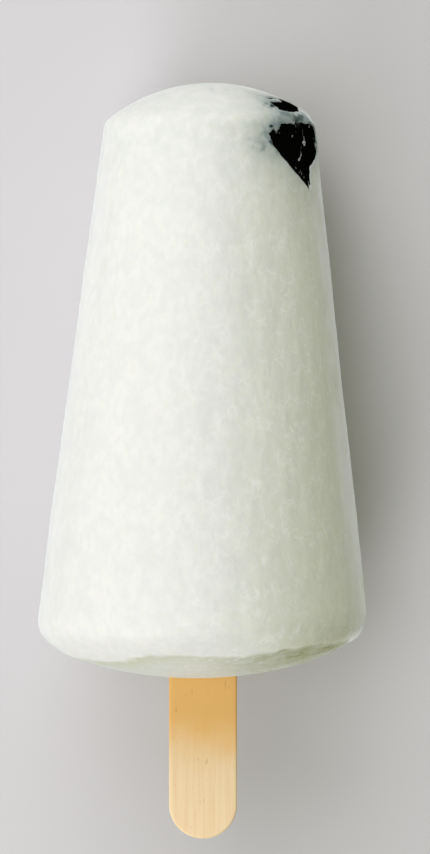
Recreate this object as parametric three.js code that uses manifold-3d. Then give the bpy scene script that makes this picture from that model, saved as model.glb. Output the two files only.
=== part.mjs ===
// A soursop ice pop: frozen fruit pulp on a flat wooden stick, with three whole seeds caught in its tip.
// Units are millimetres. The pop lies on its back on the surface z = 0. +X is its right hand side as seen
// from above, +Y runs from the stick towards the tip, and +Z is up. The origin lies on the surface, under the
// middle of the pop's length.
// Each piece is first made in the pop's own frame: y is the height above the lowest point of the base, as in
// the mould, z faces the viewer and x is to the right.
import * as THREE from "three";
import { mergeVertices } from "three/addons/utils/BufferGeometryUtils.js";
import Module from "manifold-3d";

const wasm = await Module();
wasm.setup();

// Frozen pulp, as the mould shaped it
const ICE_LENGTH = 87.5;
const RIM_RADIUS = 24.25; // the mould's mouth
const TIP_RADIUS = 15.3; // where the side would meet the dome in a sharp corner
const TIP_HEIGHT = 82;
const DOME_RADIUS = 23.8;
const TIP_ROUNDING = 1.3; // how far the round corner reaches along the side and the dome
const BULGE_RADIUS = 24.3; // the base froze last and swelled: half of this ellipse
const BULGE_HEIGHT = 8.8;
const BASE_SLOPE = 0.028; // rise of the base towards +x, because the mould stood a little askew
const SLOPE_FADE_START = 8;
const SLOPE_FADE_END = 26;

// The lip: milky pulp ends in a ragged edge, and the clearer ice below it stands back
const LIP_HEIGHT = 3.7;
const LIP_STEP = 0.35;
const LIP_WAVES = [
  { count: 1, size: 1.3, phase: -0.1 },
  { count: 2, size: 0.32, phase: -2.41 },
  { count: 5, size: 0.31, phase: 2.88 },
  { count: 7, size: 0.1, phase: -2.76 },
];

// Slow unevenness of the frozen wall
const RIPPLES = [
  { around: 3, along: 0.06, size: 0.05, phase: 0.4 },
  { around: 5, along: -0.11, size: 0.04, phase: 1.9 },
  { around: 8, along: 0.17, size: 0.03, phase: 3.3 },
];

// Small flat that the pop has melted to where it lies
const FLAT_DEPTH = 0.4;

// Stick
const STICK_LENGTH = 93;
const STICK_WIDTH = 10;
const STICK_THICKNESS = 2;
const STICK_EDGE = 0.3; // tumbled edge
const STICK_SHOWING = 23.6; // below the lowest point of the ice
const STICK_OFFSET = 0.25; // at the base, towards +x
const STICK_SKEW = THREE.MathUtils.degToRad(0.85);
const SLOT_CLEARANCE = 0.3;

// Seeds, pressed against the mould's wall and so flush with the ice. An outline is a teardrop whose axis runs
// from its pointed end to its blunt end; left and right are its half widths, and tilt leans the blunt end to
// the left.
const SEED_BLUNTNESS = 0.26;
const SEED_POINTEDNESS = 1.05;
const SEED_PROUD = 0.7; // height of the outer face before the wall trims it
const SEED_EDGE = 0.35; // how sharply the outer face turns into the belly
const POCKET_CLEARANCE = 0.3;
const WALL_SEEDS = [
  { name: "seed_left", around: 60.9, height: 72.4, tilt: 38, length: 10.6, left: 1.8, right: 4.3, depth: 3 },
  { name: "seed_right", around: 65, height: 71.8, tilt: -16, length: 10, left: 3.5, right: 2.8, depth: 3.2 },
];
const DOME_SEED = {
  name: "seed_top",
  x: 11.3,
  z: 2,
  tilt: -8,
  length: 11.6,
  left: 2.2,
  right: 2.2,
  depth: 2.2,
};

// Triangles
const AROUND = 80;
const BASE_ROWS = 24;
const SIDE_ROWS = 16;
const CORNER_ROWS = 3;
const DOME_ROWS = 9;
const SEED_AROUND = 28;
const SEED_ROWS = 14;

const TAPER = (RIM_RADIUS - TIP_RADIUS) / (TIP_HEIGHT - rimHeight());
const HALF_ANGLE = Math.atan(TAPER);
const DOME_CENTRE = ICE_LENGTH - DOME_RADIUS;

// Height at which the swollen base is as wide as the mould's mouth.
function rimHeight() {
  return BULGE_HEIGHT * (1 - Math.sqrt(1 - (RIM_RADIUS / BULGE_RADIUS) ** 2));
}

function wallRadius(height) {
  return RIM_RADIUS - TAPER * (height - rimHeight());
}

// Heights and radii from the middle of the base, up the side, to the top of the dome.
function iceProfile() {
  const points = [];
  const rimTurn = Math.asin(RIM_RADIUS / BULGE_RADIUS);
  for (let i = 0; i < BASE_ROWS; i++) {
    const turn = (rimTurn * i) / (BASE_ROWS - 1);
    points.push(new THREE.Vector2(BULGE_RADIUS * Math.sin(turn), BULGE_HEIGHT * (1 - Math.cos(turn))));
  }
  const sideEnd = TIP_HEIGHT - TIP_ROUNDING;
  for (let i = 1; i <= SIDE_ROWS; i++) {
    const height = rimHeight() + ((sideEnd - rimHeight()) * i) / SIDE_ROWS;
    points.push(new THREE.Vector2(wallRadius(height), height));
  }
  const cornerTurn = Math.asin(TIP_RADIUS / DOME_RADIUS);
  const domeTurn = cornerTurn - TIP_ROUNDING / DOME_RADIUS;
  const onDome = (turn) =>
    new THREE.Vector2(DOME_RADIUS * Math.sin(turn), DOME_CENTRE + DOME_RADIUS * Math.cos(turn));
  const corner = new THREE.QuadraticBezierCurve(points.at(-1), onDome(cornerTurn), onDome(domeTurn));
  points.push(...corner.getPoints(CORNER_ROWS).slice(1));
  for (let i = 1; i <= DOME_ROWS; i++) points.push(onDome(domeTurn * (1 - i / DOME_ROWS)));
  points.at(-1).x = 0;
  return points;
}

function lipHeight(around) {
  return LIP_WAVES.reduce(
    (height, wave) => height + wave.size * Math.sin(wave.count * around + wave.phase),
    LIP_HEIGHT,
  );
}

function ripple(around, height) {
  return RIPPLES.reduce(
    (sum, wave) => sum + wave.size * Math.sin(wave.around * around + wave.along * height + wave.phase),
    0,
  );
}

// Moves a point of the plain turned shape to the real one: ripples, the lip's step and the sloping base.
function weather(point) {
  const radius = Math.hypot(point.x, point.z);
  if (radius === 0) return point;
  const around = Math.atan2(point.x, point.z);
  const onWall = THREE.MathUtils.smoothstep(radius, 0, TIP_RADIUS / 2);
  const overLip = THREE.MathUtils.smoothstep(point.y - lipHeight(around), -0.4, 0.4);
  const standBack = point.y < SLOPE_FADE_END ? LIP_STEP * (1 - overLip) : 0;
  const scale = (radius + onWall * (ripple(around, point.y) - standBack)) / radius;
  const slope = BASE_SLOPE * (1 - THREE.MathUtils.smoothstep(point.y, SLOPE_FADE_START, SLOPE_FADE_END));
  return point.set(point.x * scale, point.y + slope * point.x, point.z * scale);
}

// A closed three.js geometry as a manifold-3d solid.
function solidOf(geometry) {
  const bare = geometry.index ? geometry.toNonIndexed() : geometry.clone();
  bare.deleteAttribute("normal");
  bare.deleteAttribute("uv");
  const merged = mergeVertices(bare, 1e-4);
  const corners = merged.index.array;
  const kept = [];
  for (let i = 0; i < corners.length; i += 3) {
    const [a, b, c] = corners.subarray(i, i + 3);
    if (a !== b && b !== c && c !== a) kept.push(a, b, c);
  }
  return new wasm.Manifold(
    new wasm.Mesh({
      numProp: 3,
      vertProperties: merged.attributes.position.array,
      triVerts: new Uint32Array(kept),
    }),
  );
}

function geometryOf(solid) {
  const mesh = solid.getMesh();
  const geometry = new THREE.BufferGeometry();
  geometry.setAttribute("position", new THREE.BufferAttribute(mesh.vertProperties, 3));
  geometry.setIndex(new THREE.BufferAttribute(mesh.triVerts, 1));
  geometry.computeVertexNormals();
  return geometry;
}

function moveVertices(geometry, move) {
  const position = geometry.attributes.position;
  const point = new THREE.Vector3();
  for (let i = 0; i < position.count; i++) {
    move(point.fromBufferAttribute(position, i));
    position.setXYZ(i, point.x, point.y, point.z);
  }
  return geometry;
}

// The stick's outline, or its slot's when grown: straight sides with a half circle at each end.
function stickGeometry(grow, edge) {
  const half = STICK_WIDTH / 2 + grow - edge;
  const reach = (STICK_LENGTH - STICK_WIDTH) / 2;
  const outline = new THREE.Shape();
  outline.absarc(0, reach, half, 0, Math.PI);
  outline.absarc(0, -reach, half, Math.PI, 2 * Math.PI);
  const thickness = STICK_THICKNESS + 2 * grow;
  const geometry = new THREE.ExtrudeGeometry(outline, {
    depth: thickness - 2 * edge,
    curveSegments: 20,
    bevelEnabled: edge > 0,
    bevelThickness: edge,
    bevelSize: edge,
    bevelSegments: 2,
  });
  return geometry.translate(0, 0, edge - thickness / 2);
}

// Where the stick stands in the pop's frame, slightly askew.
function stickPlace() {
  const bottom = -STICK_SHOWING;
  const middle = bottom + STICK_LENGTH / 2;
  return new THREE.Matrix4()
    .makeTranslation(STICK_OFFSET - Math.tan(STICK_SKEW) * middle, middle, 0)
    .multiply(new THREE.Matrix4().makeRotationZ(STICK_SKEW));
}

// A turned teardrop, then pressed: x and y lie along the wall and z is the depth, with the outer face flat.
function seedGeometry({ left, right, length, depth }, grow) {
  const profile = [];
  const widest = (SEED_POINTEDNESS - SEED_BLUNTNESS) / (SEED_POINTEDNESS + SEED_BLUNTNESS);
  const width = (s) => (1 - s) ** SEED_BLUNTNESS * (1 + s) ** SEED_POINTEDNESS;
  for (let i = 0; i <= SEED_ROWS; i++) {
    const s = -Math.cos((Math.PI * i) / SEED_ROWS);
    profile.push(new THREE.Vector2(i % SEED_ROWS ? width(s) / width(widest) : 0, s));
  }
  return moveVertices(new THREE.LatheGeometry(profile, SEED_AROUND), (p) => {
    const side = p.x < 0 ? left : right;
    const outer = (SEED_PROUD + grow) * Math.max(p.z, 0) ** SEED_EDGE;
    p.set(p.x * (side + grow), ((p.y + 1) * length) / 2 + p.y * grow, p.z > 0 ? outer : p.z * (depth + grow));
  });
}

// Lays a flat seed on the mould's side wall, its point at the given angle from the front and height.
function onWall({ around, height, tilt }, geometry) {
  const start = THREE.MathUtils.degToRad(around);
  geometry.rotateZ(THREE.MathUtils.degToRad(tilt));
  return moveVertices(geometry, (p) => {
    const y = height + p.y;
    const turn = start + p.x / wallRadius(height);
    const radius = wallRadius(y) + p.z;
    p.set(radius * Math.sin(turn), y, radius * Math.cos(turn));
  });
}

// Lays a flat seed on the dome, centred over (x, z), with its blunt end towards the front.
function onDome({ x, z, tilt, length }, geometry) {
  const centre = new THREE.Vector3(x, Math.sqrt(DOME_RADIUS ** 2 - x * x - z * z), z).normalize();
  const along = new THREE.Vector3(0, 0, 1).applyAxisAngle(
    new THREE.Vector3(0, 1, 0),
    THREE.MathUtils.degToRad(tilt),
  );
  along.addScaledVector(centre, -along.dot(centre)).normalize();
  const across = new THREE.Vector3().crossVectors(along, centre);
  return moveVertices(geometry, (p) => {
    const out = centre.clone().multiplyScalar(DOME_RADIUS);
    out.addScaledVector(across, p.x).addScaledVector(along, p.y - length / 2);
    out.normalize().multiplyScalar(DOME_RADIUS + p.z);
    p.set(out.x, out.y + DOME_CENTRE, out.z);
  });
}

function seedSolid(seed, grow = 0) {
  const flat = seedGeometry(seed, grow);
  return solidOf("around" in seed ? onWall(seed, flat) : onDome(seed, flat));
}

function stickSolid(grow = 0, edge = 0) {
  return solidOf(stickGeometry(grow, edge).applyMatrix4(stickPlace()));
}

// A large block behind the pop, whose face is the plane that the pop lies on.
function underneath() {
  const block = new THREE.BoxGeometry(200, 200, 40);
  const face = -wallRadius(0) * Math.cos(HALF_ANGLE) + FLAT_DEPTH;
  block.translate(0, 0, face - 20);
  return solidOf(block.applyMatrix4(new THREE.Matrix4().makeRotationX(HALF_ANGLE)));
}

// The pop's whole outside, before the stick and the seeds are taken out of it.
const moulded = solidOf(moveVertices(new THREE.LatheGeometry(iceProfile(), AROUND), weather));
const seeds = [...WALL_SEEDS, DOME_SEED];
const pockets = seeds.map((seed) => seedSolid(seed, POCKET_CLEARANCE));
const hollows = [underneath(), stickSolid(SLOT_CLEARANCE), ...pockets];
const ice = hollows.reduce((solid, hollow) => solid.subtract(hollow), moulded);

function pieceMesh(name, solid, color, roughness) {
  const mesh = new THREE.Mesh(
    geometryOf(solid),
    new THREE.MeshStandardMaterial({ color, roughness, metalness: 0 }),
  );
  mesh.name = name;
  return mesh;
}

const pop = new THREE.Group();
pop.add(pieceMesh("ice_body", ice, 0xeff0e6, 0.45));
pop.add(pieceMesh("stick", stickSolid(0, STICK_EDGE), 0xecc78c, 0.7));
for (const seed of seeds) pop.add(pieceMesh(seed.name, seedSolid(seed).intersect(moulded), 0x0d0b0a, 0.35));

// Lay the pop on the flat, and centre its length over the origin.
pop.rotation.x = -HALF_ANGLE;
pop.position.z = wallRadius(0) * Math.cos(HALF_ANGLE) - FLAT_DEPTH;
const reach = new THREE.Box3().setFromObject(pop, true);
pop.position.y = -(reach.min.y + reach.max.y) / 2;

const part = new THREE.Group();
part.add(pop);
export default part;
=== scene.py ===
# %% [markdown]
# # A soursop ice pop, lying on a pale table
#
# The real thing is white soursop pulp, poured into a tapered round mould with a flat stick pushed in and
# frozen. The mould's rounded end became the tip. Three black seeds had sunk against the mould's wall, so they
# show in one shoulder of the tip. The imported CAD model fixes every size. Here each piece is made again with
# the fine shape and the finish that the eye expects.

import math

import bpy
import numpy as np
from mathutils import Matrix, Vector, noise


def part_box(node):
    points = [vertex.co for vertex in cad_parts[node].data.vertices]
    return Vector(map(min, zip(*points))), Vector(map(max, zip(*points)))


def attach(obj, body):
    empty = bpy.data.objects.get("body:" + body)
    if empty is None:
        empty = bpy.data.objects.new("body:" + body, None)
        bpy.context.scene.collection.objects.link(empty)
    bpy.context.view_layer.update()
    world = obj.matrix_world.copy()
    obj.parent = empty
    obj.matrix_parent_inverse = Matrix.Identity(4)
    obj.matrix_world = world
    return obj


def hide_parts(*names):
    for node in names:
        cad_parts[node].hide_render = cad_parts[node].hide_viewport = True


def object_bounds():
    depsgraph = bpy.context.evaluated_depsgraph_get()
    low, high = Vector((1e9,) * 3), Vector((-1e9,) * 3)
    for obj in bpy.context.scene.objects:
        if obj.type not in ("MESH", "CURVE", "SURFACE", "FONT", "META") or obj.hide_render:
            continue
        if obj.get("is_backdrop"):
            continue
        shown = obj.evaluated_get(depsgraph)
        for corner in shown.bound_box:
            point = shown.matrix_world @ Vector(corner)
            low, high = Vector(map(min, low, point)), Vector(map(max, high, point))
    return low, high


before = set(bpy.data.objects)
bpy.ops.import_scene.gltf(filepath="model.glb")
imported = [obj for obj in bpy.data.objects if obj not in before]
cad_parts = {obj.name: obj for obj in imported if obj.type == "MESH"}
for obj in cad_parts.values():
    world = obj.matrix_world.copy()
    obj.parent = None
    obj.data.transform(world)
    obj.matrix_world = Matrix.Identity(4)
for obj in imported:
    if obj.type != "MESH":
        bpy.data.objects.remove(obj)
cad_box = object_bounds()
print("CAD nodes:", sorted(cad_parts))
print("CAD box in mm:", [[round(v * 1000, 2) for v in corner] for corner in cad_box])

# %% [markdown]
# ## The pop's own frame
#
# The pop lies tilted, because it is tapered. It is easier to shape it as it stood in the mould, with y along
# its axis from the base to the tip, x to its right and z towards the viewer. So the meshes are made in that
# frame in millimetres, and one matrix lays every piece down. The sizes are the ones the CAD model was cut to.

# %% Sizes of the frozen body, in millimetres
MM = 0.001
ICE_LENGTH = 87.5
RIM_RADIUS = 24.25
TIP_RADIUS = 15.3
TIP_HEIGHT = 82
DOME_RADIUS = 23.8
TIP_ROUNDING = 1.3
RIM_ROUNDING = 1.4  # mm by which the round edge at the base reaches up the side and along the base
BULGE_RADIUS = 24.3
BULGE_HEIGHT = 8.8
FLAT_DEPTH = 0.4

RIM_HEIGHT = BULGE_HEIGHT * (1 - math.sqrt(1 - (RIM_RADIUS / BULGE_RADIUS) ** 2))
TAPER = (RIM_RADIUS - TIP_RADIUS) / (TIP_HEIGHT - RIM_HEIGHT)
HALF_ANGLE = math.atan(TAPER)
DOME_CENTRE = ICE_LENGTH - DOME_RADIUS


def wall_radius(height):
    return RIM_RADIUS - TAPER * (height - RIM_HEIGHT)


print(f"the side leans in by {math.degrees(HALF_ANGLE):.2f} degrees")

# %% The matrix that lays the pop down
tip_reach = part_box("ice_body")[1].y / MM
foot = Vector(
    (
        0,
        tip_reach - DOME_CENTRE * math.cos(HALF_ANGLE) - DOME_RADIUS,
        wall_radius(0) * math.cos(HALF_ANGLE) - FLAT_DEPTH,
    )
)
laid_down = Matrix.Translation(foot * MM) @ Matrix.Rotation(-HALF_ANGLE, 4, "X")
print("the base's middle lies at, in mm:", [round(v, 2) for v in foot])

# %% [markdown]
# ## The camera
#
# The photograph looks straight at the pop from far away: the base shows no ellipse, and both sides are
# equally long. So the camera has a long lens and looks along the pop's own z. The stick is upright in the
# picture and the body leans a little, so the camera is rolled by that lean.

# %% Camera
PIXELS_PER_MM = 6.8
PICTURE_WIDTH, PICTURE_HEIGHT = 430, 854
FOOT_PIXEL = (201.3, 677.9)  # where the lowest point of the base's axis is in the picture
BODY_LEAN = math.radians(0.85)
CAMERA_DISTANCE = 1.3  # metres from the pop's axis


def place_camera():
    right = (PICTURE_WIDTH / 2 - FOOT_PIXEL[0]) / PIXELS_PER_MM
    up = (FOOT_PIXEL[1] - PICTURE_HEIGHT / 2) / PIXELS_PER_MM
    lean = Matrix.Rotation(BODY_LEAN, 4, "Z")
    aim = lean @ Vector((right, up, 0))
    camera_data = bpy.data.cameras.new("camera")
    camera_data.sensor_fit = "VERTICAL"
    camera_data.lens = camera_data.sensor_height * CAMERA_DISTANCE / (PICTURE_HEIGHT / PIXELS_PER_MM * MM)
    camera_data.dof.use_dof = False
    camera = bpy.data.objects.new("camera", camera_data)
    bpy.context.scene.collection.objects.link(camera)
    stand = Matrix.Translation(aim * MM + Vector((0, 0, CAMERA_DISTANCE)))
    camera.matrix_world = laid_down @ stand @ lean
    bpy.context.scene.camera = camera
    return camera


camera = place_camera()
print(f"lens {camera.data.lens:.0f} mm at {CAMERA_DISTANCE} m")

# %% [markdown]
# ## Colours, patterns and layers
#
# A colour given here is in sRGB, and Blender's shaders want linear light, so one function turns one into
# the other. A second one adds a shader node with its settings and links. With these two, every finish below
# is built in the same way. Noise textures give its patterns, each as wide as on the real thing. Layers of
# colour lie over a base colour, and each one shows only where a pattern or a place on the pop lets it. The
# nodes could also be written out one after another, but a table of layers is easier to read and to change.


# %% Colours and nodes
def linear(colour):
    """An sRGB hex colour as linear red, green, blue and alpha."""
    parts = [int(colour[i : i + 2], 16) / 255 for i in (1, 3, 5)]
    return (*(c / 12.92 if c <= 0.04045 else ((c + 0.055) / 1.055) ** 2.4 for c in parts), 1.0)


def node(tree, kind, inputs=None, **settings):
    """Adds a node. An input is set to a value, or linked where it is given another node's output."""
    added = tree.nodes.new("ShaderNode" + kind)
    for name, value in settings.items():
        setattr(added, name, value)
    for key, value in (inputs or {}).items():
        if isinstance(value, bpy.types.NodeSocket):
            tree.links.new(value, added.inputs[key])
        else:
            added.inputs[key].default_value = value
    return added


def new_finish(name):
    """An empty node material, and its tree."""
    finish = bpy.data.materials.new(name)
    finish.use_nodes = True
    finish.node_tree.nodes.clear()
    return finish, finish.node_tree


# %% Places, patterns and layers
def place_in_pop(tree):
    """The place on the pop in its own frame and in millimetres, so that fibres and grain follow its axis."""
    laid = {"Vector": node(tree, "TexCoord").outputs["Object"]}
    turn_back = {**laid, "Location": foot * MM, "Rotation": (-HALF_ANGLE, 0, 0), "Scale": (MM, MM, MM)}
    return node(tree, "Mapping", turn_back, vector_type="TEXTURE").outputs[0]


def patterns(tree, place, widths, **inputs):
    """Noises by name. Each has a width in mm, a pace along the pop (1 is as across it), and a detail."""
    made = {}
    for name, (width, pace, detail) in widths.items():
        paced = node(tree, "Mapping", {"Vector": place, "Scale": (1, pace, 1)}).outputs[0]
        grown = {"Vector": paced, "Scale": 1 / width, "Detail": detail, **inputs}
        made[name] = node(tree, "TexNoise", grown).outputs[0]
    return made


def showing(tree, measures, fades):
    """How much of a layer shows: the product of its fades. Each fade goes from one value of a measure to
    another, with how much shows at the first and at the second."""
    shown = 1
    for name, start, end, at_start, at_end in fades:
        span = {"From Min": start, "From Max": end, "To Min": at_start, "To Max": at_end}
        fade = node(tree, "MapRange", {"Value": measures[name], **span}).outputs[0]
        shown = node(tree, "Math", {0: shown, 1: fade}, operation="MULTIPLY").outputs[0]
    return shown


def layered(tree, measures, base, layers):
    """A base colour with the layers over it, each a hex colour and its fades."""
    colour = linear(base) if isinstance(base, str) else base
    for tint, fades in layers:
        mixing = {"Fac": showing(tree, measures, fades), "Color1": colour, "Color2": linear(tint)}
        colour = node(tree, "MixRGB", mixing).outputs[0]
    return colour


def end_finish(tree, shader):
    output = node(tree, "OutputMaterial", {"Surface": shader.outputs[0]})
    output.is_active_output = True


# %% [markdown]
# ## The frozen body
#
# A turned outline gives the body its main shape, as the mould did. It could be a lathe modifier with
# displacement, but the pulp's edge at the base and the windows over the seeds need points close together just
# there. So the grid is made in code, with its rows and columns packed where the detail is, and every point is
# then moved by the relief it carries.


# %% The turned outline
def on_dome(turn):
    return np.stack([DOME_RADIUS * np.sin(turn), DOME_CENTRE + DOME_RADIUS * np.cos(turn)], -1)


def rounded(before, corner, after, steps=200):
    """A curve that leaves the first place and reaches the last one, bending towards the corner."""
    t = np.linspace(0, 1, steps)[:, None]
    return (1 - t) ** 2 * before + 2 * t * (1 - t) * corner + t**2 * after


def outline():
    """Radius and height along the outline, very close together."""
    turn = np.linspace(0, math.asin(RIM_RADIUS / BULGE_RADIUS), 1500)
    base = np.stack([BULGE_RADIUS * np.sin(turn), BULGE_HEIGHT * (1 - np.cos(turn))], -1)
    rim = base[-1]
    base = base[base[:, 1] < RIM_HEIGHT - RIM_ROUNDING]
    height = np.linspace(RIM_HEIGHT + RIM_ROUNDING, TIP_HEIGHT - TIP_ROUNDING, 4000)
    side = np.stack([wall_radius(height), height], -1)
    corner_turn = math.asin(TIP_RADIUS / DOME_RADIUS)
    dome_turn = corner_turn - TIP_ROUNDING / DOME_RADIUS
    edge = rounded(base[-1], rim, side[0])
    corner = rounded(side[-1], on_dome(corner_turn), on_dome(dome_turn))
    dome = on_dome(np.linspace(dome_turn, 0, 1500))
    return np.concatenate([base, edge[1:], side[1:], corner[1:], dome[1:]])


def spread(positions, gaps):
    """Places from the first to the last position, whose spacing follows the wanted gap there."""
    count = np.concatenate([[0], np.cumsum(np.diff(positions) / ((gaps[1:] + gaps[:-1]) / 2))])
    return np.interp(np.linspace(0, count[-1], int(count[-1]) + 2), count, positions)


# %% Rows and columns of the grid
# Height in mm: gap between rows in mm. They are close at the lip and at the seeds.
ROW_GAPS = {0: 0.6, 1.5: 0.5, 2.0: 0.24, 6.0: 0.24, 8.5: 0.45, 68: 0.55, 71: 0.2, 84: 0.2, 87.5: 0.35}
# Degrees round from the front: gap between columns in degrees. They are close at the seeds.
COLUMN_GAPS = {-180: 1.4, 15: 1.4, 25: 0.8, 105: 0.8, 115: 1.4, 180: 1.4}

fine = outline()
walked = np.concatenate([[0], np.cumsum(np.hypot(*np.diff(fine, axis=0).T))])
rows = spread(walked, np.interp(fine[:, 1], list(ROW_GAPS), list(ROW_GAPS.values())))[1:-1]
row_radius = np.interp(rows, walked, fine[:, 0])
row_height = np.interp(rows, walked, fine[:, 1])
degrees = np.linspace(-180, 180, 3601)
columns = spread(degrees, np.interp(degrees, list(COLUMN_GAPS), list(COLUMN_GAPS.values())))[:-1]
print(f"{len(rows)} rows by {len(columns)} columns, outline {walked[-1]:.1f} mm long")

# %% [markdown]
# ### Relief
#
# Frozen pulp is never quite smooth. The wall ripples by a few hundredths of a millimetre. At the base the
# milky pulp ends in a ragged lip. The clearer, grainier ice below it stands back, because it froze last, from
# the liquid that drained out of the pulp. The base also slopes, as the mould stood a little askew. Sine waves
# give the long forms and noise gives the short ones, so the relief has no seam where it closes round the pop.

# %% The lip, the ripples and the slope of the base
BASE_SLOPE = 0.028
SLOPE_FADE_START, SLOPE_FADE_END = 8, 26  # mm up the pop, between which that slope dies away
LIP_HEIGHT = 3.7
LIP_STEP = 0.35  # mm by which the ice below the lip stands back
LIP_WAVES = [(1, 1.3, -0.1), (2, 0.32, -2.41), (5, 0.31, 2.88), (7, 0.1, -2.76)]  # count, size, phase
LIP_TEARS = [(0.18, 2.2, 5.1), (0.08, 0.8, 9.7)]  # depth in mm, width in mm, where in the noise it starts
FULLNESS = 0.13  # mm by which the middle of the side stands out from the plain cone
DOME_SLOPE = 0.022  # rise of the dome towards the right
RIPPLES = [(3, 0.06, 0.05, 0.4), (5, -0.11, 0.04, 1.9), (8, 0.17, 0.03, 3.3)]  # around, along, size, phase


def smooth(value, low, high):
    """0 up to low, 1 from high on, and a soft step between them."""
    t = np.clip((value - low) / (high - low), 0, 1)
    return t * t * (3 - 2 * t)


def bumps(points, size, shift=0.0, stretch=1.0):
    """Smooth noise from about -1 to 1. Its bumps are as wide as size, and stretched along the axis."""
    scaled = points / (size * np.array([1, stretch, 1])) + shift
    return 2 * np.array([noise.noise(p) for p in scaled.tolist()])


def over_lip(around, height, points):
    """How far above the lip each point is, with the lip torn a little by the ice's grain."""
    lip = LIP_HEIGHT + sum(size * np.sin(count * around + phase) for count, size, phase in LIP_WAVES)
    return height - lip - sum(depth * bumps(points, width, start) for depth, width, start in LIP_TEARS)


def dome_slope(height):
    return DOME_SLOPE * smooth(height, TIP_HEIGHT - TIP_ROUNDING, TIP_HEIGHT + 2)


def ripple(around, height):
    return sum(size * np.sin(n * around + along * height + phase) for n, along, size, phase in RIPPLES)


# %% [markdown]
# ### Windows over the seeds
#
# Each seed lies against the wall, and the pulp opens over it. Where pulp had run between a seed and the mould
# the edge is ragged, and where the seed lay tight it is crisp. Holes cut with a boolean would have clean
# edges only, so the pulp is pressed in over each seed instead, along an outline that noise eats into. The two
# seeds on the side lie so close that one window shows both. Pulp covers the right one's far flank and the
# blunt ends of both, and it covers the dome seed's right end.
#
# The seeds lie where the CAD solids have them, with two small differences that the picture asks for: the left
# one's point is 0.6 mm longer, and the dome seed is turned by 22 degrees and is about 2 mm nearer the viewer.

# %% Where the seeds lie
SEED_BLUNTNESS = 0.26
SEED_POINTEDNESS = 1.05
SEED_PROUD = 0.22  # mm by which the pulp has swollen outward over the seeds
SEED_SWELL = 0.28  # mm that fill the clearance of the CAD solids, as real pulp is frozen onto the seeds
COVERED_TO = 4.1  # mm along the right seed: the pulp lies over its far flank up to here
COVER_LEAN = (0.74, 0.67)  # how that edge runs, along the seed and across it
COVER_EDGE = 0.9  # mm to the left of the right seed's middle: the pulp reaches that far
FROSTED_ACROSS = (0.7, 1.7)  # mm across the dome seed: frost lies on it between these
FROSTED_ALONG = 8.6  # and beyond this many mm along it
WALL_SEEDS = {  # degrees round, and mm up, of the seed's point, its lean in degrees, and its size in mm
    "left": dict(around=62.1, height=71.93, tilt=38, length=11.2, left=1.8, right=4.3, depth=3),
    "right": dict(around=65, height=71.8, tilt=-16, length=10, left=3.5, right=2.8, depth=3.2),
}
# The dome seed's middle, in mm to the right and towards the viewer, then as above.
DOME_SEED = dict(x=12.24, z=3.63, tilt=-30, length=11.9, left=1.7, right=1.86, depth=2.2)


def outline_width(s):
    """A teardrop's width from its point at s = -1 to its blunt end at s = 1, up to 1 where it is widest."""
    widest = (SEED_POINTEDNESS - SEED_BLUNTNESS) / (SEED_POINTEDNESS + SEED_BLUNTNESS)
    peak = (1 - widest) ** SEED_BLUNTNESS * (1 + widest) ** SEED_POINTEDNESS
    s = np.clip(s, -1, 1)
    return (1 - s) ** SEED_BLUNTNESS * (1 + s) ** SEED_POINTEDNESS / peak


def dome_axes():
    """The dome seed's outward direction, and the directions across and along it."""
    x, z = DOME_SEED["x"], DOME_SEED["z"]
    out = Vector((x, math.sqrt(DOME_RADIUS**2 - x * x - z * z), z)).normalized()
    along = Matrix.Rotation(math.radians(DOME_SEED["tilt"]), 3, "Y") @ Vector((0, 0, 1))
    along = (along - out * along.dot(out)).normalized()
    return np.array(out), np.array(along.cross(out)), np.array(along)


def across_and_along(name, around, height, points):
    """Places on the wall or the dome as millimetres across and along a seed from its point."""
    if name == "top":
        out, across, along = dome_axes()
        away = points - [0, DOME_CENTRE, 0]
        scale = DOME_RADIUS / np.maximum(away @ out, 1e-6)
        return away @ across * scale, away @ along * scale + DOME_SEED["length"] / 2
    seed = WALL_SEEDS[name]
    x = (around - math.radians(seed["around"])) * wall_radius(seed["height"])
    y = height - seed["height"]
    lean = math.radians(seed["tilt"])
    return x * math.cos(lean) + y * math.sin(lean), y * math.cos(lean) - x * math.sin(lean)


def seed_outline(seed):
    """The outline as millimetres across and along the seed, from its point round to its point."""
    s = -np.cos(np.pi * np.arange(41) / 40)
    along = (s + 1) * seed["length"] / 2 + s * SEED_SWELL
    left = np.stack([-(seed["left"] + SEED_SWELL) * outline_width(s), along], -1)
    right = np.stack([(seed["right"] + SEED_SWELL) * outline_width(s), along], -1)
    return np.concatenate([left, right[::-1]])


def distance_to(line, places):
    """How far each place is from a line of short straight pieces."""
    start, step = line[:-1], np.diff(line, axis=0)
    squared = np.maximum((step**2).sum(1), 1e-12)
    part = np.clip(((places[:, None] - start) * step).sum(2) / squared, 0, 1)
    return np.linalg.norm(places[:, None] - start - part[..., None] * step, axis=2).min(1)


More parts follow.
